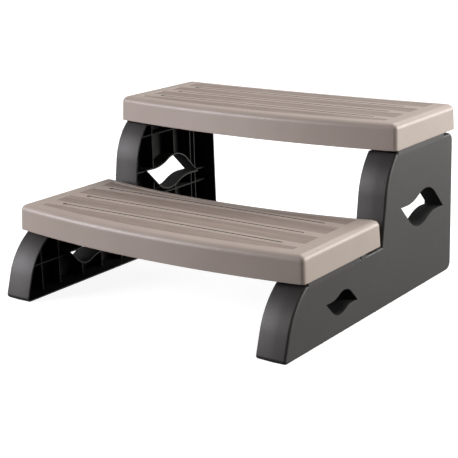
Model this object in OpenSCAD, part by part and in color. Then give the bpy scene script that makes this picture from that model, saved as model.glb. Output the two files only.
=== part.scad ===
// Two-tread spa steps: two moulded treads screwed down onto two moulded side panels.
// X runs across the treads, Y runs from the front to the back and Z is up from the ground.
// The origin is on the ground, in the middle of the width and of the depth.

/* [Overall] */
// Depth from the front of the toes to the back of the panels
overall_d = 664; // [658:1:676]
// Height of the lower tread's top above the ground
lower_top = 190; // [184:1:196]
// Height of the upper tread's top above the ground
upper_top = 368; // [360:1:376]

/* [Treads] */
// Width of a tread at its skirt
tread_w = 711; // [700:1:724]
// Height of a tread from its skirt to its top
tread_h = 54; // [50:1:58]
// Thickness of a tread's skirt
tread_wall = 4; // [3:0.5:5]
// Thickness of a tread's top
top_t = 4.5; // [4:0.5:6]
// How far the front edge bows forward at its middle
front_bow = 31.5; // [24:0.5:36]
// Depth of the lower tread at its ends
lower_depth = 287; // [280:1:290]
// How far the lower tread's back edge bows forward at its middle
lower_back_bow = 42; // [36:1:46]
// Depth of the upper tread at its ends
upper_depth = 264; // [260:1:266]
// How far the upper tread's back edge bows forward at its middle
upper_back_bow = 13; // [10:1:20]
// Distance from the front of the toes to the lower tread's front corners
lower_setback = 59; // [56:1:62]
// Distance from the front of the toes to the upper tread's front corners
upper_setback = 399; // [397:1:400]
// How far the skirt leans in from its foot to its rolled edge
draft = 2; // [1:0.5:4]
// Radius of the rolled edge round the top
edge_r = 13; // [10:1:13]
// Radius of the front corners in plan
front_corner_r = 18; // [18:1:24]
// Radius of the back corners in plan
back_corner_r = 18; // [18:1:28]

/* [Tread surface] */
// Depth of the grained planks below the smooth border
plank_sink = 0.8; // [0.5:0.1:1.2]
// Half of a plank's length
plank_half = 315; // [305:1:320]
// Width of the smooth channel between two planks
channel_w = 25; // [20:1:30]
// Length of the drain groove on each side of the middle
groove_half = 274; // [260:1:280]
// Width of a drain groove
groove_w = 3.6; // [3:0.2:5]
// Depth of a drain groove
groove_depth = 2.5; // [1.5:0.1:2.5]
// Diameter of the drain hole at a groove's left end
drain_d = 8.5; // [6:0.5:10]
// Width of the smooth border in front of the planks
front_border = 15; // [12:1:18]
// Width of the smooth border behind the planks
back_border = 6; // [4:1:8]

/* [Side panels] */
// Width across the outer faces of the panels
panel_span = 703; // [700:1:703]
// Depth of a panel from its outer face to its inner edge
panel_w = 64; // [60:1:70]
// Thickness of a panel's outer wall and of its rim
panel_wall = 4; // [3.5:0.5:5]
// Lean of the foot's front edge from upright, in degrees
foot_lean = 17; // [15:0.5:18]
// Lean of the riser's front edge from upright, in degrees
riser_lean = 8; // [7:0.5:9]
// Radius that rounds each front edge over into its shelf
nose_r = 145; // [140:1:150]
// Radius of the panel's two back corners
panel_corner_r = 18; // [14:1:22]
// Radius of the toe
toe_r = 8; // [6:1:10]
// How far the back edge leans forward at the top
back_lean = 5; // [0:1:8]
// Gap between a shelf and the skirt of the tread over it
shelf_gap = 6; // [5:1:8]
// Thickness of a stiffening rib
rib_t = 3; // [2.5:0.5:4]
// Depth of the ribs from the outer face
rib_depth = 36; // [30:1:39]
// Depth of the walls round the upper wave-shaped opening from the outer face
tube_depth = 40; // [38:1:46]
// Depth of the walls round the lower wave-shaped opening from the outer face
lower_tube_depth = 58; // [50:1:60]

/* [Screws] */
// Diameter of a screw's shank
screw_d = 4.8; // [4.2:0.2:5.2]
// Length of a screw under its head
screw_len = 32; // [28:1:36]
// Diameter of a screw's washer head
screw_head_d = 11; // [10:0.5:12]

/* [Hidden] */
$fn = 96;
eps = 0.01;

tread_color = [0.60, 0.55, 0.51];
panel_color = [0.24, 0.24, 0.25];
screw_color = [0.75, 0.75, 0.77];

// Front of the toes
toe_y = -overall_d / 2;
// Front corners of the treads
lower_y = toe_y + lower_setback;
upper_y = toe_y + upper_setback;
// Feet of the skirts, and the shelves below them
lower_skirt_z = lower_top - tread_h;
upper_skirt_z = upper_top - tread_h;
lower_shelf_z = lower_skirt_z - shelf_gap;
upper_shelf_z = upper_skirt_z - shelf_gap;

half_w = tread_w / 2;
inner_w = draft + edge_r;
// Grooves, as distances back from a tread's front corners
lower_grooves = [54, 128, 203];
upper_grooves = [52, 117, 182];

// Screws, as distances back from the front of the toes and inwards from the outer face
screw_inset = 32;
lower_screw_y = [101, 300];
upper_screw_y = [425, 568];
screw_x = panel_span / 2 - screw_inset;
pad_h = 10;
pad_r = 8;

// Wave-shaped openings: middle in Y from the front of the toe, middle in Z, and size
upper_wave = [524, 173, 1];
lower_wave = [198, 61.5, 0.6];
wave_wall = 3;

// Tongues that stand up inside the skirts: start, end and height above the shelf
tongue_h = 16;
lower_tongue = [79, 288];
upper_tongue = [413, 615];
tongue_notch = 265;
tongue_notch_w = 4;
tongue_play = 0.6;

// Where each front edge would meet the ground, and the height at which it starts to curve
foot_start = toe_r - toe_r * (1 + sin(foot_lean)) / cos(foot_lean);
riser_start = 333.5;
foot_tangent_z = 50;
riser_tangent_z = 225;

// Upright ribs, as distances from the front of the toe, and level ribs as [z, from, to]
upright_ribs = [74, 127, 198, 262, 329, 394, 457, 537, 599, 615];
level_ribs = [
  [62, 0, overall_d], [126, 327, overall_d], [191, 337, 433], [156, 615, overall_d],
  [272, 357, overall_d]
];

function bow_radius(half, bow) = (half * half + bow * bow) / (2 * bow);
function polar(r, a) = r * [cos(a), sin(a)];
function arc(centre, r, from, to, steps) =
  [for (k = [0:steps]) centre + polar(r, from + (to - from) * k / steps)];

// ---------------------------------------------------------------- treads

// Half section of a rolled edge: upright skirt with draft, then a quarter round
module edge_section(reach, height, roll) {
  shoulder = reach - draft - roll;
  polygon([[0, 0], [reach, 0], [reach - draft, height - roll], [0, height - roll]]);
  translate([0, height - roll - 1]) square([shoulder, roll + 1]);
  translate([shoulder, height - roll]) circle(roll);
}

// What rounding an upright corner takes away, between the two edges' directions
module corner_trim(centre, r, from, to) {
  reach = r * 3;
  translate([centre.x, centre.y, -1]) linear_extrude(tread_h + 2) difference() {
    polygon([[0, 0], polar(reach, from), polar(reach * 1.5, (from + to) / 2), polar(reach, to)]);
    circle(r + 0.2);
  }
}

// A tread's outer form, or its hollow when inset is more than 0
module tread_form(depth, back_bow, inset, height) {
  front_r = bow_radius(half_w, front_bow);
  back_r = bow_radius(half_w, back_bow);
  front_c = front_r - front_bow;
  back_c = depth - back_bow + back_r;
  roll = edge_r - inset;

  corner_x1 = half_w - front_corner_r;
  corner_y1 = front_c - sqrt(pow(front_r - front_corner_r, 2) - pow(corner_x1, 2));
  corner_x2 = half_w - back_corner_r;
  corner_y2 = back_c - sqrt(pow(back_r + back_corner_r, 2) - pow(corner_x2, 2));
  angle1 = -90 + asin(corner_x1 / (front_r - front_corner_r));
  angle2 = 90 + asin(corner_x2 / (back_r + back_corner_r));

  difference() {
    intersection() {
      translate([0, front_c, 0]) rotate_extrude($fn = 720)
        edge_section(front_r - inset, height, roll);
      translate([0, back_c, 0]) rotate_extrude($fn = 720) translate([back_r + depth * 3, 0])
        mirror([1, 0]) edge_section(depth * 3 - inset, height, roll);
      translate([0, depth + 60, 0]) rotate([90, 0, 0]) linear_extrude(depth + 120)
        for (side = [0, 1])
          mirror([side, 0]) edge_section(half_w - inset, height, roll);
    }
    for (side = [0, 1]) mirror([side, 0, 0]) {
      corner_trim([corner_x1, corner_y1], front_corner_r - inset, angle1, 0);
      corner_trim([corner_x2, corner_y2], back_corner_r - inset, 0, angle2);
    }
  }
}

// The grained planks in plan: bands between the channels, trimmed to the bowed edges
module plank_plan(depth, back_bow, grooves) {
  front_r = bow_radius(half_w, front_bow);
  back_r = bow_radius(half_w, back_bow);
  starts = [-front_bow, for (g = grooves) g + channel_w / 2];
  ends = [for (g = grooves) g - channel_w / 2, depth];
  difference() {
    intersection() {
      for (k = [0:len(grooves)])
        translate([-plank_half, starts[k]]) square([2 * plank_half, ends[k] - starts[k]]);
      translate([0, front_r - front_bow]) circle(front_r - inner_w - front_border, $fn = 720);
    }
    translate([0, depth - back_bow + back_r]) circle(back_r + inner_w + back_border, $fn = 720);
  }
}

// Stiffening ribs under the top, as a grid
module tread_ribs(depth, back_bow) {
  foot_z = tongue_h - shelf_gap + 2;
  intersection() {
    tread_form(depth, back_bow, tread_wall / 2, tread_h - top_t / 2);
    translate([0, 0, foot_z]) linear_extrude(tread_h - foot_z) {
      for (x = [-300:60:300])
        translate([x - rib_t / 2, -front_bow]) square([rib_t, depth + front_bow]);
      for (y = [25, 90, 155, 220])
        translate([-half_w, y - rib_t / 2]) square([tread_w, rib_t]);
    }
  }
}

// A tread with its front corners at y = 0 and the foot of its skirt at z = 0
module tread(depth, back_bow, grooves, screws) {
  boss_top = tread_h - top_t / 2;
  difference() {
    union() {
      difference() {
        tread_form(depth, back_bow, 0, tread_h);
        translate([0, 0, -eps])
          tread_form(depth, back_bow, tread_wall, tread_h - top_t + eps);
      }
      tread_ribs(depth, back_bow);
      for (x = [-screw_x, screw_x], y = screws)
        translate([x, y, -shelf_gap]) cylinder(r = pad_r, h = boss_top + shelf_gap);
    }
    translate([0, 0, tread_h - plank_sink]) linear_extrude(plank_sink + 1)
      plank_plan(depth, back_bow, grooves);
    for (y = grooves) {
      translate([-groove_half, y - groove_w / 2, tread_h - groove_depth])
        cube([2 * groove_half, groove_w, groove_depth + 1]);
      translate([-groove_half, y, -1]) cylinder(d = drain_d, h = tread_h + 2);
    }
    for (x = [-screw_x, screw_x], y = screws)
      translate([x, y, -shelf_gap - 1]) cylinder(d = screw_d + 0.1, h = screw_len - pad_h + 4);
  }
}

module lower_tread() {
  screws = [for (y = lower_screw_y) y - lower_setback];
  color(tread_color) translate([0, lower_y, lower_skirt_z])
    tread(lower_depth, lower_back_bow, lower_grooves, screws);
}

module upper_tread() {
  screws = [for (y = upper_screw_y) y - upper_setback];
  color(tread_color) translate([0, upper_y, upper_skirt_z])
    tread(upper_depth, upper_back_bow, upper_grooves, screws);
}

// ---------------------------------------------------------------- side panels
// A panel's outline is drawn with Y from the front of the toe as its first axis and Z as its
// second. Its outer face is at x = 0 and its open side faces +X.

module slab(from, to) {
  rotate([90, 0, 90]) translate([0, 0, from]) linear_extrude(to - from) children();
}

// Everything behind a leaning front edge that rounds over at the top
module step_block(start, lean, tangent_z, top, inset) {
  tangent = [start + tangent_z * tan(lean), tangent_z];
  centre = tangent + nose_r * [cos(lean), -sin(lean)];
  intersection() {
    union() {
      polygon([
        [start + inset / cos(lean), 0],
        tangent + inset * [cos(lean), -sin(lean)],
        centre,
        [centre.x, 0]
      ]);
      translate(centre) circle(nose_r - inset, $fn = 180);
      translate([centre.x - 1, 0]) square([overall_d - centre.x + 1, top]);
    }
    back_limit(top, inset);
  }
}

// Level foot and top, and a back edge with two round corners
module back_limit(top, inset) {
  r = panel_corner_r;
  low = overall_d - r;
  high = low - back_lean;
  polygon([
    [-10, inset], [low, inset], [low, r], [overall_d - inset, r],
    [overall_d - back_lean - inset, top - r], [high, top - r], [high, top - inset],
    [-10, top - inset]
  ]);
  translate([low, r]) circle(r - inset);
  translate([high, top - r]) circle(r - inset);
}

// What rounding the toe takes away
module toe_trim(inset) {
  centre = [toe_r, toe_r];
  touch = centre - toe_r * [cos(foot_lean), -sin(foot_lean)];
  difference() {
    polygon([[-9, -9], [centre.x, -9], centre, touch - [9, 0]]);
    translate(centre) circle(toe_r - inset);
  }
}

module panel_outline(inset = 0) {
  difference() {
    union() {
      step_block(foot_start, foot_lean, foot_tangent_z, lower_shelf_z, inset);
      step_block(riser_start, riser_lean, riser_tangent_z, upper_shelf_z, inset);
    }
    toe_trim(inset);
  }
}

// One half of the wave: a dip and a crest that meet on a common tangent
function wave_half(size, grow) =
  let (
    tip = size * [-94.5, 18],
    dip = size * [-67, 17],
    crest = size * [12, -23],
    crest_r = size * 60,
    rise = crest.y + crest_r - dip.y,
    dip_r = (pow(crest.x - dip.x, 2) / rise - crest_r - dip.y + crest.y) / 2,
    dip_c = dip + [0, dip_r],
    meet = atan2(dip_c.y - crest.y, dip_c.x - crest.x),
    reach = -tip - crest,
    leave = atan2(reach.y, reach.x) + acos(crest_r / norm(reach))
  )
  concat(
    [tip + grow * [-1.2, 1]],
    arc(dip_c, dip_r - grow, 270, 180 + meet, 4),
    arc(crest, crest_r + grow, meet, leave, 9)
  );

// Wave-shaped opening, the same when it is turned half a turn
module wave(place, grow = 0) {
  half = wave_half(place[2], grow);
  translate([place[0], place[1]]) polygon(concat(half, [for (p = half) -p]));
}

module rib_plan() {
  for (y = upright_ribs) translate([y - rib_t / 2, 0]) square([rib_t, upper_shelf_z]);
  for (rib = level_ribs)
    translate([rib[1], rib[0] - rib_t / 2]) square([rib[2] - rib[1], rib_t]);
}

module tongue_plan() {
  difference() {
    translate([lower_tongue[0], lower_shelf_z - panel_wall])
      square([lower_tongue[1] - lower_tongue[0], panel_wall + tongue_h]);
    translate([tongue_notch, lower_shelf_z])
      square([tongue_notch_w, tongue_h + 1]);
  }
  translate([upper_tongue[0], upper_shelf_z - panel_wall])
    square([upper_tongue[1] - upper_tongue[0], panel_wall + tongue_h]);
}

module at_screws(ys, shelf_z) {
  for (y = ys) translate([screw_inset, y, shelf_z - pad_h]) children();
}

// Left-hand panel with the front of its toe at y = 0
module side_panel() {
  difference() {
    union() {
      slab(0, panel_wall) panel_outline();
      slab(0, panel_w) difference() {
        panel_outline();
        panel_outline(panel_wall);
      }
      slab(0, rib_depth) intersection() {
        panel_outline(panel_wall / 2);
        rib_plan();
      }
      slab(0, tube_depth) wave(upper_wave, wave_wall);
      slab(0, lower_tube_depth) wave(lower_wave, wave_wall);
      slab(tongue_play, tongue_play + panel_wall) tongue_plan();
      at_screws(lower_screw_y, lower_shelf_z) cylinder(r = pad_r, h = pad_h - 1);
      at_screws(upper_screw_y, upper_shelf_z) cylinder(r = pad_r, h = pad_h - 1);
    }
    slab(-1, panel_w + 1) {
      wave(upper_wave);
      wave(lower_wave);
    }
    at_screws(lower_screw_y, lower_shelf_z - 1) cylinder(d = screw_d + 0.8, h = pad_h + 2);
    at_screws(upper_screw_y, upper_shelf_z - 1) cylinder(d = screw_d + 0.8, h = pad_h + 2);
  }
}

module left_side_panel() {
  color(panel_color) translate([-panel_span / 2, toe_y, 0]) side_panel();
}

module right_side_panel() {
  color(panel_color) mirror([1, 0, 0]) translate([-panel_span / 2, toe_y, 0]) side_panel();
}

// ---------------------------------------------------------------- screws

// Self-tapping screw, point up, with its washer head below z = 0
module screw() {
  point = 6;
  rotate_extrude()
    polygon([
      [0, -4], [screw_head_d * 0.3, -4], [screw_head_d * 0.36, -1.2], [screw_head_d / 2, -1],
      [screw_head_d / 2, 0], [screw_d / 2, 0], [screw_d / 2, screw_len - point],
      [0.4, screw_len], [0, screw_len]
    ]);
}

module crossed_screw() {
  difference() {
    screw();
    for (turn = [0, 90])
      rotate([0, 0, turn]) translate([-2.6, -0.6, -5]) cube([5.2, 1.2, 3]);
  }
}

module screw_set(ys, shelf_z) {
  color(screw_color) for (x = [-screw_x, screw_x], y = ys)
    translate([x, toe_y + y, shelf_z - pad_h]) crossed_screw();
}

module lower_tread_screws() {
  screw_set(lower_screw_y, lower_shelf_z);
}

module upper_tread_screws() {
  screw_set(upper_screw_y, upper_shelf_z);
}

lower_tread();
upper_tread();
left_side_panel();
right_side_panel();
lower_tread_screws();
upper_tread_screws();
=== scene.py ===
"""Spa steps: two bowed, grained treads on two ribbed side panels, on a pale floor.

Sizes are in millimetres and become metres when a mesh is made. X runs across the treads, Y from
the front to the back and Z up, as in the CAD frame. A tread's own Y starts at its front corners and
a panel's own Y at the front of its toe.
"""

import math

import bmesh
import bpy
from mathutils import Matrix, Vector, noise


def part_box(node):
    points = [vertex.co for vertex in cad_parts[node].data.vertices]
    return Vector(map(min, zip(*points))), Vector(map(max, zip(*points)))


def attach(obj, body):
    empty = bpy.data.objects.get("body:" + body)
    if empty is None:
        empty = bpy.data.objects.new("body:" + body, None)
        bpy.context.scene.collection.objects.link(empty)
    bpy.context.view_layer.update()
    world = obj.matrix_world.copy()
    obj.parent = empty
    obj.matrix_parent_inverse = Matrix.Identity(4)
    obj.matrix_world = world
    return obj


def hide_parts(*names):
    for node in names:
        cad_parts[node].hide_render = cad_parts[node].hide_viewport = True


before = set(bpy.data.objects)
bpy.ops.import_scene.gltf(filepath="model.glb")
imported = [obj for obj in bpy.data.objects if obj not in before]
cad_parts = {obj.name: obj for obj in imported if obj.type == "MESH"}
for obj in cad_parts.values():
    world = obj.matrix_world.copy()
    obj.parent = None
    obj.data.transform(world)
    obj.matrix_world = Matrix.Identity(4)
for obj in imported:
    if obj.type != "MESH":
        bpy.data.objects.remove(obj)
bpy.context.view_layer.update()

MM = 0.001
SHARP_ANGLE = 28
HOLE_STEPS = 24
# how far a cutting tool reaches past what it cuts
CUT_PAST = 5

# ---- treads
DEPTHS = {"lower_tread": 287, "upper_tread": 264}
FRONT_BOW = 31.5
BACK_BOWS = {"lower_tread": 42, "upper_tread": 13}
GROOVES = {"lower_tread": (54, 128, 203), "upper_tread": (52, 117, 182)}
SHELF_GAP = 6
TREAD_WALL = 4
TOP_T = 4.5
DRAFT = 2
EDGE_R = 13
CORNER_R = 10
CORNER_STEPS = 8
# how much a plan corner's radius shrinks for each millimetre of inset
CORNER_LOSS = 0.42
ROLL_STEPS = 10
INNER_ROLL_STEPS = 5
# (inset, height) up the round edge of the skirt's foot
FOOT_ROUND = ((0.7, 0), (0.2, 0.25), (0, 0.8))
FOOT_CHAMFER = 0.4
# rings that hold the skirt flat: above its foot, and below the rolled edge
LOW_RING = 2
HIGH_RING = 1.5

# ---- planks and grooves on a tread's top
GRID_INSET = 22
FRONT_BORDER = 32
BACK_BORDER = 23
PLANK_HALF = 315
PLANK_SINK = 0.8
PLANK_SLOPE = 0.7
CHANNEL_W = 25
GROOVE_HALF = 274
GROOVE_W = 3.6
GROOVE_SLOPE = 0.6
GROOVE_DEPTH = 2.5
DRAIN_D = 8.5
COLUMN_STEP = 7
ROW_STEP = 6
PLANK_ROW_STEP = 1.3

# ---- relief of the grain: (length, width, which slice of the noise) of its features
GRAIN_DEPTH = 0.16
GRAIN_BEND = 3.5
BENDS = (130, 40, 1.7)
RIDGES = (95, 3.1, 0.4)
RIDGE_SHARE = 0.65
STREAKS = (38, 1.7, 8.2)
STREAK_SHARE = 0.35

# ---- under a tread
RIB_T = 3
RIB_FOOT = 12
# a rib's inset at its foot, under the rolled edge and at its top
RIB_INSETS = (2, 6, 13)
TREAD_RIB_X = range(-300, 301, 60)
TREAD_RIB_Y = (25, 90, 155, 220)
BOSS_R = 8
SCREW_HOLE_R = 2.45
SCREW_HOLE_TOP = 19

# ---- a tread's materials, by number; the drain grooves' one is painted shade
SMOOTH, GRAINED, DRAINED = range(3)

# ---- side panels
PANEL_W = 64
PANEL_WALL = 4
PANEL_EDGE_R = 5.5
PANEL_ROLL_STEPS = 7
FACE_RING = 2
OUTLINE_STEP = 80
# the low ridge along the middle of the rim, and the share of its height gone at its shoulders
RIDGE_AT = 30
RIDGE_HALF = 4
RIDGE_H = 0.7
RIDGE_SHOULDER = 0.2
# (inset, distance from the open side) round the rim's outer edge
RIM_ROUND = ((0, 1.5), (0.3, 0.4), (1, 0))
RIM_CHAMFER = 0.5
FOOT_LEAN = math.radians(17)
RISER_LEAN = math.radians(8)
FOOT_TANGENT_Z = 50
RISER_TANGENT_Z = 225
RISER_START = 333.5
NOSE_R = 145
NOSE_STEPS = 30
TOE_R = 8
PANEL_CORNER_R = 18
BACK_LEAN = 5
LOWER_SHELF_Z = 130
PAD_H = 9
PAD_SUNK = 1
PAD_HOLE_CLEAR = 0.35
SCREW_HEAD_R = 5.5

# ---- a panel's ribs: the y of each upright one, and (z, from y, to y) of each level one
RIB_SUNK = 1
RIB_DEPTH = 36
UPRIGHT_RIBS = (74, 127, 198, 262, 329, 394, 457, 537, 599, 615)
LEVEL_RIBS = ((62, 0, 664), (126, 327, 664), (191, 337, 433), (156, 615, 664), (272, 357, 664))
SINK_HALF = 7

# ---- a panel's waves: (y, z, size, depth of its wall), and the shape of one at size 1
WAVES = ((524, 173, 1, 40), (198, 61.5, 0.6, 58))
WAVE_WALL = 3
WAVE_TIP = Vector((-94.5, 18))
WAVE_DIP = Vector((-67, 17))
WAVE_CREST = Vector((12, -23))
WAVE_CREST_R = 60
# how far the tip moves out for each millimetre that the wave grows
TIP_GROW = 1.2
DIP_STEPS = 10
CREST_STEPS = 26
# (how much wider, distance in from the outer face) round a wave's outer edge
WAVE_FLARE = 1.6
WAVE_LIP = ((WAVE_FLARE * 1.6, -1), (WAVE_FLARE, 0), (WAVE_FLARE * 0.3, 0.6), (0, 1.8))
TUBE_CHAMFER = 1

# ---- the tongues that stand up inside the treads' skirts: (from y, to y, z of the shelf)
TONGUES = ((79, 265, 130), (269, 288, 130), (413, 615, 308))
TONGUE_H = 16
TONGUE_ROOT = 2
TONGUE_BEND = 0.5
TONGUE_FLUSH = 0.1
TONGUE_LEAN = 1.3
TONGUE_BEHIND = 0.6

# ---- the number of a panel's second material, dark with painted shade; its outside keeps number 0
HOLLOW = 1

# ---- the range in which nearly all of a noise's values lie
USUAL = (0.3, 0.7)

# ---- where the lights point, in metres
AIM = Vector((0, 0, 0.15))


# ---------------------------------------------------------------- mesh helpers


def mesh_object(name, points, faces, kinds=None):
    """A closed mesh from points in millimetres, with its normals outwards."""
    mesh = bpy.data.meshes.new(name)
    mesh.from_pydata([[c * MM for c in p] for p in points], [], faces)
    if kinds:
        mesh.polygons.foreach_set("material_index", kinds)
    work = bmesh.new()
    work.from_mesh(mesh)
    bmesh.ops.recalc_face_normals(work, faces=work.faces)
    work.to_mesh(mesh)
    work.free()
    piece = bpy.data.objects.new(name, mesh)
    bpy.context.scene.collection.objects.link(piece)
    return piece


def loft(name, rings):
    """A closed solid through rings of the same number of points, with flat ends."""
    count = len(rings[0])
    points = [p for ring in rings for p in ring]
    faces = [list(range(count)), [count * (len(rings) - 1) + k for k in range(count)]]
    for r in range(len(rings) - 1):
        for k in range(count):
            n = (k + 1) % count
            faces.append([r * count + k, r * count + n, (r + 1) * count + n, (r + 1) * count + k])
    return mesh_object(name, points, faces)


def pillar(x, y, z1, z2, r, steps=40):
    """An upright round solid."""
    turns = [2 * math.pi * k / steps for k in range(steps)]
    circle = [(x + r * math.cos(a), y + r * math.sin(a)) for a in turns]
    return loft("pillar", [[(*p, z) for p in circle] for z in (z1, z2)])


def combine(piece, tools, operation):
    """Joins tools to piece or cuts them from it, and takes the tools away."""
    group = bpy.data.collections.new("tools")
    for tool in tools:
        for home in list(tool.users_collection):
            home.objects.unlink(tool)
        group.objects.link(tool)
    cut = piece.modifiers.new("combine", "BOOLEAN")
    cut.operation = operation
    cut.solver = "EXACT"
    cut.operand_type = "COLLECTION"
    cut.collection = group
    result = bpy.data.meshes.new_from_object(piece.evaluated_get(bpy.context.evaluated_depsgraph_get()))
    piece.modifiers.clear()
    old = piece.data
    piece.data = result
    result.name = piece.name
    bpy.data.meshes.remove(old)
    for tool in tools:
        bpy.data.meshes.remove(tool.data)
    bpy.data.collections.remove(group)


def paint(piece, kind, faces=slice(None)):
    """Gives some of a piece's faces that material number."""
    for face in piece.data.polygons[faces]:
        face.material_index = kind


def shade(piece):
    """Smooth over round stretches and sharp at edges steeper than SHARP_ANGLE, in degrees."""
    piece.data.polygons.foreach_set("use_smooth", [True] * len(piece.data.polygons))
    piece.data.set_sharp_from_angle(angle=math.radians(SHARP_ANGLE))


def spread(start, end, step):
    """Evenly spaced values after start and before end, no further apart than step."""
    count = max(1, math.ceil(abs(end - start) / step))
    return [start + (end - start) * k / count for k in range(1, count)]


def arc(centre, r, start, end, steps):
    """Points on an arc between two angles in radians, both ends included."""
    angles = [start + (end - start) * k / steps for k in range(steps + 1)]
    return [(centre[0] + r * math.cos(a), centre[1] + r * math.sin(a)) for a in angles]


# ---------------------------------------------------------------- treads


def bow_radius(half, bow):
    """Radius of an arc that rises by bow over half its chord."""
    return (half * half + bow * bow) / (2 * bow)


class TreadPlan:
    """A tread in plan: bowed front and back edges, straight ends and round corners."""

    def __init__(self, node):
        low, high = (Vector(corner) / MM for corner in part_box(node))
        back_bow = BACK_BOWS[node]
        self.half = high.x
        self.front_y = low.y + FRONT_BOW
        self.depth = DEPTHS[node]
        self.skirt_z = low.z + SHELF_GAP
        self.height = high.z - self.skirt_z
        self.grooves = GROOVES[node]
        self.front_r = bow_radius(self.half, FRONT_BOW)
        self.front_c = self.front_r - FRONT_BOW
        self.back_r = bow_radius(self.half, back_bow)
        self.back_c = self.depth - back_bow + self.back_r
        self.columns = self.column_places()
        self.rows = self.row_places()

    def front(self, x, inset):
        return self.front_c - math.sqrt((self.front_r - inset) ** 2 - x * x)

    def back(self, x, inset):
        return self.back_c - math.sqrt((self.back_r + inset) ** 2 - x * x)

    def column_places(self):
        """X of each column of the top's grid, with one at each plank end and groove end."""
        half = self.half - GRID_INSET
        stops = [0, GROOVE_HALF - GROOVE_SLOPE, GROOVE_HALF, PLANK_HALF - PLANK_SLOPE, PLANK_HALF, half]
        right = [0]
        for a, b in zip(stops, stops[1:]):
            right += spread(a, b, COLUMN_STEP) + [b]
        return [-x for x in reversed(right[1:])] + right

    def row_places(self):
        """Rows of the top's grid as (y of x, on a plank, in a groove)."""

        def front(inset):
            return lambda x: self.front(x, inset)

        def back(inset):
            return lambda x: self.back(x, inset)

        def level(y):
            return lambda x: y

        def between(a, b, share):
            return lambda x: a(x) * (1 - share) + b(x) * share

        stops = [
            (front(GRID_INSET), False, False),
            (front(FRONT_BORDER), False, False),
            (front(FRONT_BORDER + PLANK_SLOPE), True, False),
        ]
        for y in self.grooves:
            edge = CHANNEL_W / 2
            lip = GROOVE_W / 2
            stops += [
                (level(y - edge - PLANK_SLOPE), True, False),
                (level(y - edge), False, False),
                (level(y - lip), False, False),
                (level(y - lip + GROOVE_SLOPE), False, True),
                (level(y + lip - GROOVE_SLOPE), False, True),
                (level(y + lip), False, False),
                (level(y + edge), False, False),
                (level(y + edge + PLANK_SLOPE), True, False),
            ]
        stops += [
            (back(BACK_BORDER + PLANK_SLOPE), True, False),
            (back(BACK_BORDER), False, False),
            (back(GRID_INSET), False, False),
        ]
        rows = [stops[0]]
        for a, b in zip(stops, stops[1:]):
            plank = a[1] and b[1]
            widest = max(abs(b[0](x) - a[0](x)) for x in (0, self.half - GRID_INSET))
            count = max(1, math.ceil(widest / (PLANK_ROW_STEP if plank else ROW_STEP)))
            rows += [(between(a[0], b[0], k / count), plank, a[2] and b[2]) for k in range(1, count)]
            rows.append(b)
        return rows

    def outline(self, inset):
        """Points round the plan at that inset, counter-clockwise from the front left corner."""
        half = self.half - inset
        widest = self.columns[-1]
        edge = [row[0](widest) for row in self.rows]
        shares = [(y - edge[0]) / (edge[-1] - edge[0]) for y in edge]

        r = CORNER_R - CORNER_LOSS * inset
        front_reach = self.front_r - inset - r
        back_reach = self.back_r + inset + r
        front_turn = math.asin((half - r) / front_reach)
        back_turn = math.asin((half - r) / back_reach)
        front_corner = (half - r, self.front_c - front_reach * math.cos(front_turn))
        back_corner = (half - r, self.back_c - back_reach * math.cos(back_turn))

        def along(r, centre_y, turn):
            """Points along a bowed edge, one for each column."""
            leans = [turn * x / widest for x in self.columns]
            return [(r * math.sin(a), centre_y - r * math.cos(a)) for a in leans]

        quarter = math.pi / 2
        right = arc(front_corner, r, front_turn - quarter, 0, CORNER_STEPS)[1:-1]
        right += [(half, front_corner[1] + (back_corner[1] - front_corner[1]) * s) for s in shares]
        right += arc(back_corner, r, 0, quarter + back_turn, CORNER_STEPS)[1:-1]
        front = along(self.front_r - inset, self.front_c, front_turn)
        back = along(self.back_r + inset, self.back_c, back_turn)
        return front + right + back[::-1] + [(-x, y) for x, y in reversed(right)]

    def border(self):
        """The grid point, as (column, row), that each point of an outline joins."""
        last_column = len(self.columns) - 1
        last_row = len(self.rows) - 1
        right = [(last_column, 0)] * (CORNER_STEPS - 1)
        right += [(last_column, r) for r in range(len(self.rows))]
        right += [(last_column, last_row)] * (CORNER_STEPS - 1)
        front = [(c, 0) for c in range(len(self.columns))]
        back = [(c, last_row) for c in range(len(self.columns))]
        return front + right + back[::-1] + [(0, r) for _, r in reversed(right)]


def grain_noise(x, y, features):
    length, width, slice_z = features
    return noise.noise(Vector((x / length, y / width, slice_z)))


def grain_height(x, y):
    """Relief of the moulded wood grain: long ridges with finer streaks between them."""
    bent_y = y + GRAIN_BEND * grain_noise(x, y, BENDS)
    ridge = grain_noise(x, bent_y, RIDGES)
    streak = grain_noise(x, bent_y, STREAKS)
    return GRAIN_DEPTH * (RIDGE_SHARE * ridge + STREAK_SHARE * streak)


def tread_rings(plan):
    """(inset, height) of each ring, up the outside from the foot and then down the inside."""
    shoulder = plan.height - EDGE_R
    outside = [*FOOT_ROUND, (DRAFT * LOW_RING / shoulder, LOW_RING)]
    outside.append((DRAFT * (shoulder - HIGH_RING) / shoulder, shoulder - HIGH_RING))
    for k in range(ROLL_STEPS + 1):
        turn = math.pi / 2 * k / ROLL_STEPS
        outside.append((DRAFT + EDGE_R - EDGE_R * math.cos(turn), shoulder + EDGE_R * math.sin(turn)))
    roll = EDGE_R - TREAD_WALL
    under = plan.height - TOP_T
    inside = []
    for k in range(INNER_ROLL_STEPS + 1):
        turn = math.pi / 2 * (1 - k / INNER_ROLL_STEPS)
        inside.append((DRAFT + EDGE_R - roll * math.cos(turn), under - roll + roll * math.sin(turn)))
    inside += [(TREAD_WALL, FOOT_CHAMFER), (TREAD_WALL - FOOT_CHAMFER, 0)]
    return outside, inside


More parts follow.
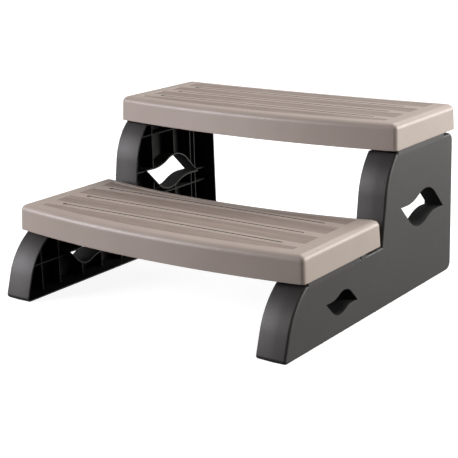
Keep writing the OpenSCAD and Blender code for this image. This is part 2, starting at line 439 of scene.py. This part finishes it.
def tread_shell(name, plan):
    """The tread's skirt, rolled edge and planked top, hollow underneath."""
    points = []
    faces = []
    kinds = []
    outside, inside = tread_rings(plan)
    count = len(plan.outline(0))

    def ring(inset, z):
        start = len(points)
        points.extend((x, plan.front_y + y, plan.skirt_z + z) for x, y in plan.outline(inset))
        return start

    def join(a, b):
        for k in range(count):
            n = (k + 1) % count
            faces.append([a + k, a + n, b + n, b + k])
            kinds.append(SMOOTH)

    outer = [ring(*place) for place in outside]
    inner = [ring(*place) for place in inside]
    for a, b in zip(outer, outer[1:]):
        join(a, b)
    for a, b in zip(inner, inner[1:]):
        join(a, b)
    join(inner[-1], outer[0])
    faces.append([inner[0] + k for k in range(count)])
    kinds.append(SMOOTH)

    # the planked top
    grid = len(points)
    wide = len(plan.columns)
    on_plank = [abs(x) < PLANK_HALF - PLANK_SLOPE / 2 for x in plan.columns]
    in_groove = [abs(x) < GROOVE_HALF - GROOVE_SLOPE / 2 for x in plan.columns]
    for place, plank, groove in plan.rows:
        for x, x_plank, x_groove in zip(plan.columns, on_plank, in_groove):
            y = place(x)
            z = plan.height
            if plank and x_plank:
                z += grain_height(x, y + plan.front_y) - PLANK_SINK
            elif groove and x_groove:
                z -= GROOVE_DEPTH
            points.append((x, plan.front_y + y, plan.skirt_z + z))
    for r in range(len(plan.rows) - 1):
        grained_row = plan.rows[r][1] and plan.rows[r + 1][1]
        for c in range(wide - 1):
            a = grid + r * wide + c
            faces.append([a, a + 1, a + wide + 1, a + wide])
            grained = grained_row and on_plank[c] and on_plank[c + 1]
            drained = (plan.rows[r][2] or plan.rows[r + 1][2]) and (in_groove[c] or in_groove[c + 1])
            # faces in a groove get the groove material, whose dark colour is painted shade
            kinds.append(GRAINED if grained else DRAINED if drained else SMOOTH)

    # the rolled edge's last ring joined to the grid's border
    border = [grid + r * wide + c for c, r in plan.border()]
    for k in range(count):
        n = (k + 1) % count
        face = [outer[-1] + k, outer[-1] + n, border[n], border[k]]
        faces.append(face[:3] if border[n] == border[k] else face)
        kinds.append(SMOOTH)
    return mesh_object(name, points, faces, kinds)


def tread_ribs(plan):
    """Ribs under the top, from wall to wall, with their upper corners cut to follow the roll."""
    heights = (RIB_FOOT, plan.height - EDGE_R, plan.height - TOP_T / 2)
    profile = list(zip(RIB_INSETS, heights))
    ribs = []
    for x in TREAD_RIB_X:
        side = [(plan.front(x, i), z) for i, z in profile]
        side += [(plan.back(x, i), z) for i, z in reversed(profile)]
        ribs.append([[(x + d, y, z) for y, z in side] for d in (-RIB_T / 2, RIB_T / 2)])
    for y in TREAD_RIB_Y:
        side = [(-plan.half + i, z) for i, z in profile]
        side += [(plan.half - i, z) for i, z in reversed(profile)]
        ribs.append([[(x, y + d, z) for x, z in side] for d in (-RIB_T / 2, RIB_T / 2)])
    lift = Vector((0, plan.front_y, plan.skirt_z))
    return [loft("rib", [[Vector(p) + lift for p in ring] for ring in rings]) for rings in ribs]


def screw_places(node):
    """(x, y) of each screw in a group of four, from the CAD node's box."""
    low, high = (Vector(corner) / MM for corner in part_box(node))
    xs = (low.x + SCREW_HEAD_R, high.x - SCREW_HEAD_R)
    ys = (low.y + SCREW_HEAD_R, high.y - SCREW_HEAD_R)
    return [(x, y) for x in xs for y in ys]


def tread(node, materials):
    """materials are the smooth plastic, the grained planks and the painted shade of the drain grooves
    and holes.
    """
    plan = TreadPlan(node)
    piece = tread_shell(node + "_shell", plan)
    for material in materials:
        piece.data.materials.append(material)
    low = plan.skirt_z - SHELF_GAP
    screws = screw_places(node + "_screws")
    top = plan.skirt_z + plan.height
    bosses = [pillar(x, y, low, top - TOP_T / 2, BOSS_R) for x, y in screws]
    combine(piece, tread_ribs(plan) + bosses, "UNION")
    drains = [
        pillar(-GROOVE_HALF, plan.front_y + y, plan.skirt_z, top + CUT_PAST, DRAIN_D / 2)
        for y in plan.grooves
    ]
    # the drain holes' walls take the grooves' painted shade
    for drain in drains:
        paint(drain, DRAINED)
    hole_top = plan.skirt_z + SCREW_HOLE_TOP
    holes = [pillar(x, y, low - CUT_PAST, hole_top, SCREW_HOLE_R, HOLE_STEPS) for x, y in screws]
    combine(piece, drains + holes, "DIFFERENCE")
    shade(piece)
    return piece


# ---------------------------------------------------------------- side panels


def nose(start, lean, tangent_z, shelf_z, inset):
    """A front edge from its shelf down to where it turns straight: an arc that leans back."""
    tangent = (start + tangent_z * math.tan(lean), tangent_z)
    centre = (tangent[0] + NOSE_R * math.cos(lean), tangent[1] - NOSE_R * math.sin(lean))
    r = NOSE_R - inset
    top = math.pi - math.asin((shelf_z - inset - centre[1]) / r)
    return arc(centre, r, top, math.pi - lean, NOSE_STEPS)


def panel_outline(inset, depth, top):
    """(y, z) round a panel at that inset, from the toe's foot round by the back."""
    foot_start = TOE_R - TOE_R * (1 + math.sin(FOOT_LEAN)) / math.cos(FOOT_LEAN)
    quarter = math.pi / 2
    r = PANEL_CORNER_R - inset
    low = depth - PANEL_CORNER_R
    high = low - BACK_LEAN
    points = [(y, inset) for y in spread(TOE_R, low, OUTLINE_STEP)]
    points += arc((low, PANEL_CORNER_R), r, -quarter, 0, CORNER_STEPS)
    points += arc((high, top - PANEL_CORNER_R), r, 0, quarter, CORNER_STEPS)
    points += nose(RISER_START, RISER_LEAN, RISER_TANGENT_Z, top, inset)
    corner_z = LOWER_SHELF_Z - inset
    corner_y = RISER_START + corner_z * math.tan(RISER_LEAN) + inset / math.cos(RISER_LEAN)
    points.append((corner_y, corner_z))
    points += nose(foot_start, FOOT_LEAN, FOOT_TANGENT_Z, LOWER_SHELF_Z, inset)
    points += arc((TOE_R, TOE_R), TOE_R - inset, math.pi - FOOT_LEAN, 3 * quarter, CORNER_STEPS)
    return points


def panel_profile():
    """(inset, distance in from the outer face) across the rim, from the face round to the web."""
    r = PANEL_EDGE_R
    face = [(r + FACE_RING, 0)]
    for k in range(PANEL_ROLL_STEPS + 1):
        turn = math.pi / 2 * k / PANEL_ROLL_STEPS
        face.append((RIDGE_H + (r - RIDGE_H) * (1 - math.sin(turn)), r - r * math.cos(turn)))
    shoulder = RIDGE_H * RIDGE_SHOULDER
    face += [(shoulder, RIDGE_AT - RIDGE_HALF), (0, RIDGE_AT), (shoulder, RIDGE_AT + RIDGE_HALF)]
    face += [(RIDGE_H + inset, PANEL_W - back) for inset, back in RIM_ROUND]
    face += [(PANEL_WALL - RIM_CHAMFER, PANEL_W), (PANEL_WALL, PANEL_W - RIM_CHAMFER)]
    face.append((PANEL_WALL, PANEL_WALL))
    return face


def wave_half(size, grow):
    """One half of the wave: a dip and a crest that meet on a common tangent."""
    tip = size * WAVE_TIP
    dip = size * WAVE_DIP
    crest = size * WAVE_CREST
    crest_r = size * WAVE_CREST_R
    rise = crest.y + crest_r - dip.y
    dip_r = ((crest.x - dip.x) ** 2 / rise - crest_r - dip.y + crest.y) / 2
    dip_c = dip + Vector((0, dip_r))
    meet = math.atan2(dip_c.y - crest.y, dip_c.x - crest.x)
    reach = -tip - crest
    leave = math.atan2(reach.y, reach.x) + math.acos(crest_r / reach.length)
    points = [(tip.x - TIP_GROW * grow, tip.y + grow)]
    points += arc(dip_c, dip_r - grow, 1.5 * math.pi, math.pi + meet, DIP_STEPS)
    points += arc(crest, crest_r + grow, meet, leave, CREST_STEPS)[1:]
    return points


def wave(place, grow):
    """(y, z) round a wave-shaped opening, the same when it is turned half a turn."""
    centre_y, centre_z, size, _ = place
    half = wave_half(size, grow)
    whole = half + [(-y, -z) for y, z in half]
    return [(centre_y + y, centre_z + z) for y, z in whole]


def side_panel(node, side, materials):
    """side is -1 for the left-hand panel and 1 for the right-hand one.

    materials are the outside, and the painted shade of the open side's hollows with the walls of the
    waves.
    """
    low, high = (Vector(corner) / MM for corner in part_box(node))
    outer_x = high.x if side > 0 else low.x
    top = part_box("upper_tread")[0][2] / MM
    depth = high.y - low.y

    def at(inwards, y, z):
        return (outer_x - side * inwards, low.y + y, z)

    def slab(plan, start, end):
        return loft("slab", [[at(d, y, z) for y, z in plan] for d in (start, end)])

    def plate(d1, d2, y1, y2, z1, z2):
        return slab([(y1, z1), (y2, z1), (y2, z2), (y1, z2)], d1, d2)

    rings = [
        [at(d, y, z) for y, z in panel_outline(inset, depth, top)]
        for inset, d in panel_profile()
    ]
    piece = loft(node + "_shell", rings)
    for material in materials:
        piece.data.materials.append(material)
    # the web's inner face and the inside of the rim take the painted shade
    paint(piece, HOLLOW, slice(1, 2))
    paint(piece, HOLLOW, slice(-len(rings[0]), None))

    half = RIB_T / 2
    ribs = [
        plate(RIB_SUNK, RIB_DEPTH, y - half, y + half, -CUT_PAST, top + CUT_PAST)
        for y in UPRIGHT_RIBS
    ]
    ribs += [plate(RIB_SUNK, RIB_DEPTH, y1, y2, z - half, z + half) for z, y1, y2 in LEVEL_RIBS]
    grid = ribs.pop()
    combine(grid, ribs, "UNION")
    inside = panel_outline(PANEL_WALL / 2, depth, top)
    combine(grid, [slab(inside, -CUT_PAST, PANEL_W)], "INTERSECT")
    # the ribs take the painted shade
    paint(grid, HOLLOW)

    tubes = [slab(wave(place, WAVE_WALL), PANEL_WALL / 2, place[3]) for place in WAVES]
    tongues = []
    for y1, y2, shelf in TONGUES:
        behind = PANEL_WALL + TONGUE_BEHIND
        root = shelf - PANEL_EDGE_R - TONGUE_ROOT
        section = [
            (TONGUE_FLUSH, root),
            (TONGUE_FLUSH, shelf + SHELF_GAP - TONGUE_BEND),
            (TONGUE_LEAN, shelf + TONGUE_H),
            (behind, shelf + TONGUE_H),
            (behind, root),
        ]
        tongues.append(loft("tongue", [[at(d, y, z) for d, z in section] for y in (y1, y2)]))
    screws = [
        (x, y, z) for name, z in (("lower", LOWER_SHELF_Z), ("upper", top))
        for x, y in screw_places(name + "_tread_screws") if x * side > 0
    ]
    pads = [pillar(x, y, z - PAD_H - PAD_SUNK, z - PAD_SUNK, BOSS_R) for x, y, z in screws]
    combine(piece, [grid] + tubes + tongues + pads, "UNION")

    cutters = []
    for place in WAVES:
        end = place[3]
        flare = [*WAVE_LIP, (0, end - TUBE_CHAMFER), (TUBE_CHAMFER, end + TUBE_CHAMFER)]
        sections = [[at(d, y, z) for y, z in wave(place, grow)] for grow, d in flare]
        cutters.append(loft("cutter", sections))
        # the waves' walls take the painted shade
        paint(cutters[-1], HOLLOW)
    hole_r = SCREW_HOLE_R + PAD_HOLE_CLEAR
    cutters += [
        pillar(x, y, z - PAD_H - CUT_PAST, z + CUT_PAST, hole_r, HOLE_STEPS)
        for x, y, z in screws
    ]
    combine(piece, cutters, "DIFFERENCE")
    shade(piece)
    return piece


# ---------------------------------------------------------------- materials


class Nodes:
    """A material's node tree, built one node at a time."""

    def __init__(self, name):
        self.material = bpy.data.materials.new(name)
        self.material.use_nodes = True
        self.tree = self.material.node_tree
        self.shader = self.tree.nodes["Principled BSDF"]
        self.place = self.add("ShaderNodeTexCoord").outputs["Object"]

    def add(self, kind, values=None, **settings):
        """A node with its settings, and with values or links for its inputs by name or number."""
        made = self.tree.nodes.new(kind)
        for key, value in settings.items():
            setattr(made, key, value)
        for key, value in (values or {}).items():
            self.put(made.inputs[key], value)
        return made

    def put(self, socket, value):
        if isinstance(value, bpy.types.NodeSocket):
            self.tree.links.new(value, socket)
        else:
            socket.default_value = value

    def set(self, name, value):
        """Gives that input of the shader a value or a link."""
        self.put(self.shader.inputs[name], value)

    def noise(self, scale, stretch=(1, 1, 1), detail=4, distortion=0.0):
        """Noise between 0 and 1 at that many features a metre, stretched along the axes."""
        mapped = self.add("ShaderNodeMapping", {"Vector": self.place, "Scale": stretch})
        values = {
            "Vector": mapped.outputs[0],
            "Scale": scale,
            "Detail": detail,
            "Distortion": distortion,
        }
        return self.add("ShaderNodeTexNoise", values).outputs[0]

    def math(self, operation, a, b):
        return self.add("ShaderNodeMath", {0: a, 1: b}, operation=operation).outputs[0]

    def weigh(self, a, a_share, b, b_share):
        """a and b added together in those shares."""
        first = self.math("MULTIPLY", a, a_share)
        second = self.math("MULTIPLY", b, b_share)
        return self.math("ADD", first, second)

    def spread(self, value, low, high, to_low=0.0, to_high=1.0):
        """value taken from one range to another, held inside it."""
        values = {
            "Value": value,
            "From Min": low,
            "From Max": high,
            "To Min": to_low,
            "To Max": to_high,
        }
        return self.add("ShaderNodeMapRange", values).outputs[0]

    def mix(self, share, a, b):
        made = self.add("ShaderNodeMix", {0: share}, data_type="RGBA")
        self.put(made.inputs[6], a)
        self.put(made.inputs[7], b)
        return made.outputs[2]

    def bump(self, height, distance, strength=1.0, under=None):
        values = {"Height": height, "Distance": distance, "Strength": strength}
        if under:
            values["Normal"] = under
        return self.add("ShaderNodeBump", values).outputs[0]


def plastic_texture(nodes, size, depth):
    """Bump of a fine moulded texture: grains of that size and depth in metres, over a slow ripple."""
    ripple = nodes.bump(nodes.noise(14, detail=2), 0.0006, 0.5)
    return nodes.bump(nodes.noise(1 / size, detail=3), depth, 1.0, ripple)


def tread_material():
    nodes = Nodes("tread_smooth")
    cloud = nodes.noise(9, detail=3)
    speckle = nodes.noise(1400, detail=2)
    share = nodes.weigh(cloud, 0.6, speckle, 0.4)
    dark = (0.315, 0.262, 0.230, 1)
    light = (0.365, 0.308, 0.272, 1)
    colour = nodes.mix(nodes.spread(share, *USUAL), dark, light)
    nodes.set("Base Color", colour)
    rough = nodes.spread(nodes.noise(220, detail=4), *USUAL, 0.40, 0.50)
    nodes.set("Roughness", rough)
    nodes.set("Normal", plastic_texture(nodes, 0.0009, 0.00002))
    return nodes.material


def grain_material():
    nodes = Nodes("tread_grain")
    long_streak = nodes.noise(3.2, (1, 26, 1), detail=5, distortion=0.5)
    fine_streak = nodes.noise(14, (1, 46, 1), detail=6, distortion=0.3)
    pore = nodes.noise(60, (1, 30, 1), detail=3)
    streak = nodes.weigh(long_streak, 0.5, fine_streak, 0.5)
    in_pore = nodes.spread(pore, 0.56, 0.70)
    dark = (0.170, 0.132, 0.111, 1)
    light = (0.290, 0.233, 0.200, 1)
    plain = nodes.mix(nodes.spread(streak, 0.36, 0.64), dark, light)
    colour = nodes.mix(nodes.math("MULTIPLY", in_pore, 0.6), plain, (0.140, 0.105, 0.087, 1))
    nodes.set("Base Color", colour)
    nodes.set("Roughness", nodes.spread(streak, *USUAL, 0.62, 0.5))
    relief = nodes.bump(streak, 0.0009, 0.9)
    pores = nodes.bump(nodes.math("SUBTRACT", 1.0, in_pore), 0.00025, 0.8, relief)
    nodes.set("Normal", pores)
    return nodes.material


def groove_shade_material():
    """The drain grooves and drain holes: dull, and dark brown as painted shade for their depths."""
    nodes = Nodes("tread_groove_shade")
    # noise that varies the painted shade's colour and the roughness
    mottle = nodes.noise(60, detail=4)
    dark = (0.030, 0.017, 0.011, 1)
    light = (0.065, 0.040, 0.028, 1)
    colour = nodes.mix(nodes.spread(mottle, 0.35, 0.65), dark, light)
    nodes.set("Base Color", colour)
    nodes.set("Roughness", nodes.spread(mottle, *USUAL, 0.6, 0.75))
    nodes.set("Specular IOR Level", 0.2)
    nodes.set("Normal", nodes.bump(nodes.noise(1500), 0.00003))
    return nodes.material


def hollow_shade_material():
    """The open side's ribs and the waves' walls: dull, darkened with painted shade, with moulding flow
    marks.
    """
    nodes = Nodes("panel_hollow_shade")
    cloud = nodes.noise(16, detail=4)
    flow = nodes.noise(30, (1, 0.3, 2.5), detail=3, distortion=0.8)
    share = nodes.weigh(cloud, 0.6, flow, 0.4)
    # far darker than the outside: painted shade
    dark = (0.0075, 0.0072, 0.0070, 1)
    light = (0.0125, 0.0120, 0.0115, 1)
    colour = nodes.mix(nodes.spread(share, *USUAL), dark, light)
    nodes.set("Base Color", colour)
    nodes.set("Roughness", nodes.spread(flow, *USUAL, 0.55, 0.7))
    nodes.set("Specular IOR Level", 0.25)
    nodes.set("Normal", plastic_texture(nodes, 0.0011, 0.00002))
    return nodes.material


def panel_material(low_y, high_y):
    """Charcoal plastic, with faint sink marks over the upright ribs."""
    nodes = Nodes("panel")
    cloud = nodes.noise(7, detail=3)
    speckle = nodes.noise(1100, detail=2)
    share = nodes.weigh(cloud, 0.5, speckle, 0.5)
    dark = (0.018, 0.0165, 0.0155, 1)
    light = (0.027, 0.0248, 0.0232, 1)
    colour = nodes.mix(nodes.spread(share, *USUAL), dark, light)
    nodes.set("Base Color", colour)
    rough = nodes.spread(nodes.noise(420, detail=3), *USUAL, 0.49, 0.56)
    nodes.set("Roughness", rough)
    nodes.set("Specular IOR Level", 0.45)

    y = nodes.add("ShaderNodeSeparateXYZ", {0: nodes.place}).outputs[1]
    ramp = nodes.add("ShaderNodeValToRGB", {0: nodes.spread(y, low_y, high_y)})
    ramp.color_ramp.interpolation = "B_SPLINE"
    length = (high_y - low_y) / MM
    stops = [(0, 1)]
    for rib in UPRIGHT_RIBS:
        stops += [
            ((rib - SINK_HALF) / length, 1),
            (rib / length, 0),
            ((rib + SINK_HALF) / length, 1),
        ]
    elements = ramp.color_ramp.elements
    elements.remove(elements[1])
    for place, level in sorted(stops)[1:]:
        elements.new(place).color = (level, level, level, 1)
    elements[0].color = (1, 1, 1, 1)
    sink = nodes.bump(ramp.outputs[0], 0.0004, 0.6)
    fine = nodes.bump(nodes.noise(900, detail=3), 0.00003, 1.0, sink)
    nodes.set("Normal", fine)
    return nodes.material


def screw_material():
    nodes = Nodes("screw")
    nodes.set("Metallic", 1.0)
    scratch = nodes.noise(2500, (1, 1, 0.15), detail=4)
    dark = (0.52, 0.52, 0.54, 1)
    light = (0.68, 0.68, 0.70, 1)
    colour = nodes.mix(nodes.spread(scratch, 0.35, 0.65), dark, light)
    nodes.set("Base Color", colour)
    nodes.set("Roughness", nodes.spread(scratch, *USUAL, 0.28, 0.45))
    nodes.set("Normal", nodes.bump(scratch, 0.00002, 0.7))
    return nodes.material


def floor_material():
    nodes = Nodes("floor")
    soft = nodes.noise(3, detail=2)
    dark = (0.29, 0.29, 0.29, 1)
    light = (0.31, 0.31, 0.31, 1)
    colour = nodes.mix(nodes.spread(soft, *USUAL), dark, light)
    nodes.set("Base Color", colour)
    nodes.set("Roughness", 0.9)
    nodes.set("Emission Color", (1, 1, 1, 1))
    nodes.set("Emission Strength", 0.9)
    return nodes.material


# ---------------------------------------------------------------- the object

tread_slots = (tread_material(), grain_material(), groove_shade_material())
for node in ("lower_tread", "upper_tread"):
    piece = tread(node, tread_slots)
    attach(piece, "root")
    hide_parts(node)

panel_low, panel_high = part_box("right_side_panel")
panel_slots = (
    panel_material(panel_low[1], panel_high[1]),
    hollow_shade_material(),
)
for node, side in (("left_side_panel", -1), ("right_side_panel", 1)):
    piece = side_panel(node, side, panel_slots)
    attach(piece, "root")
    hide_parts(node)

screw_slot = screw_material()
for node in ("lower_tread_screws", "upper_tread_screws"):
    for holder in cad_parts[node].material_slots:
        holder.material = screw_slot


# ---------------------------------------------------------------- floor, light and camera


def floor():
    """A wide pale floor, which throws no light on the pieces and is not mirrored in them."""
    reach = 30000
    points = [(-reach, -reach, 0), (reach, -reach, 0), (reach, reach, 0), (-reach, reach, 0)]
    piece = mesh_object("floor", points, [[0, 1, 2, 3]])
    piece.data.materials.append(floor_material())
    piece.visible_diffuse = False
    piece.visible_glossy = False


def softbox(name, azimuth, elevation, distance, size, power, colour, glossy_only=False):
    """An area light that faces the steps. Azimuth 0 is in front, and 90 is on the +X side."""
    light = bpy.data.lights.new(name, "AREA")
    light.shape = "RECTANGLE"
    light.size, light.size_y = size
    light.energy = power
    light.color = colour
    holder = bpy.data.objects.new(name, light)
    turn = math.radians(azimuth)
    rise = math.radians(elevation)
    way = Vector((math.sin(turn) * math.cos(rise), -math.cos(turn) * math.cos(rise), math.sin(rise)))
    holder.location = AIM + distance * way
    holder.rotation_euler = way.to_track_quat("Z", "Y").to_euler()
    holder.visible_diffuse = not glossy_only
    bpy.context.scene.collection.objects.link(holder)


def sky():
    """A studio: bright behind and to the right, and dim where the camera stands."""
    world = bpy.data.worlds.new("studio")
    bpy.context.scene.world = world
    world.use_nodes = True
    tree = world.node_tree
    place = tree.nodes.new("ShaderNodeTexCoord")
    facing = tree.nodes.new("ShaderNodeVectorMath")
    ramp = tree.nodes.new("ShaderNodeMapRange")
    background = tree.nodes["Background"]
    facing.operation = "DOT_PRODUCT"
    facing.inputs[1].default_value = (0.5, 0.8, 0.33)
    tree.links.new(place.outputs["Generated"], facing.inputs[0])
    tree.links.new(facing.outputs["Value"], ramp.inputs["Value"])
    ramp.inputs["From Min"].default_value = 0.0
    ramp.inputs["From Max"].default_value = 0.8
    ramp.inputs["To Min"].default_value = 0.05
    ramp.inputs["To Max"].default_value = 0.55
    tree.links.new(ramp.outputs[0], background.inputs["Strength"])
    background.inputs["Color"].default_value = (1, 1, 1, 1)


def camera():
    """From the front right and a little above, with a long lens and a slight roll."""
    azimuth = math.radians(36.33)
    elevation = math.radians(16.0)
    roll = math.radians(-1.55)
    distance = 2.4449
    target = Vector((0.0323, -0.0550, 0.1391))
    way = Vector((
        math.sin(azimuth) * math.cos(elevation),
        -math.cos(azimuth) * math.cos(elevation),
        math.sin(elevation),
    ))
    lens = bpy.data.cameras.new("camera")
    lens.sensor_width = 36
    lens.lens = 92.6
    holder = bpy.data.objects.new("camera", lens)
    turn = way.to_track_quat("Z", "Y").to_matrix() @ Matrix.Rotation(roll, 3, "Z")
    holder.matrix_world = Matrix.Translation(target + distance * way) @ turn.to_4x4()
    bpy.context.scene.collection.objects.link(holder)
    bpy.context.scene.camera = holder


floor()
sky()
softbox("key", -46, 18, 4.0, (2.4, 1.6), 184, (1.0, 0.975, 1.01))
softbox("right", 117, 14, 4.2, (1.8, 1.5), 168, (1.0, 0.98, 0.94))
softbox("above", 165, 56, 3.6, (2.0, 1.6), 102, (1.0, 0.985, 0.97))
softbox("right_back", 143, 12, 2.8, (0.8, 0.8), 25, (1.0, 1.0, 1.0), glossy_only=True)
camera()
bpy.context.scene.view_settings.view_transform = "Standard"
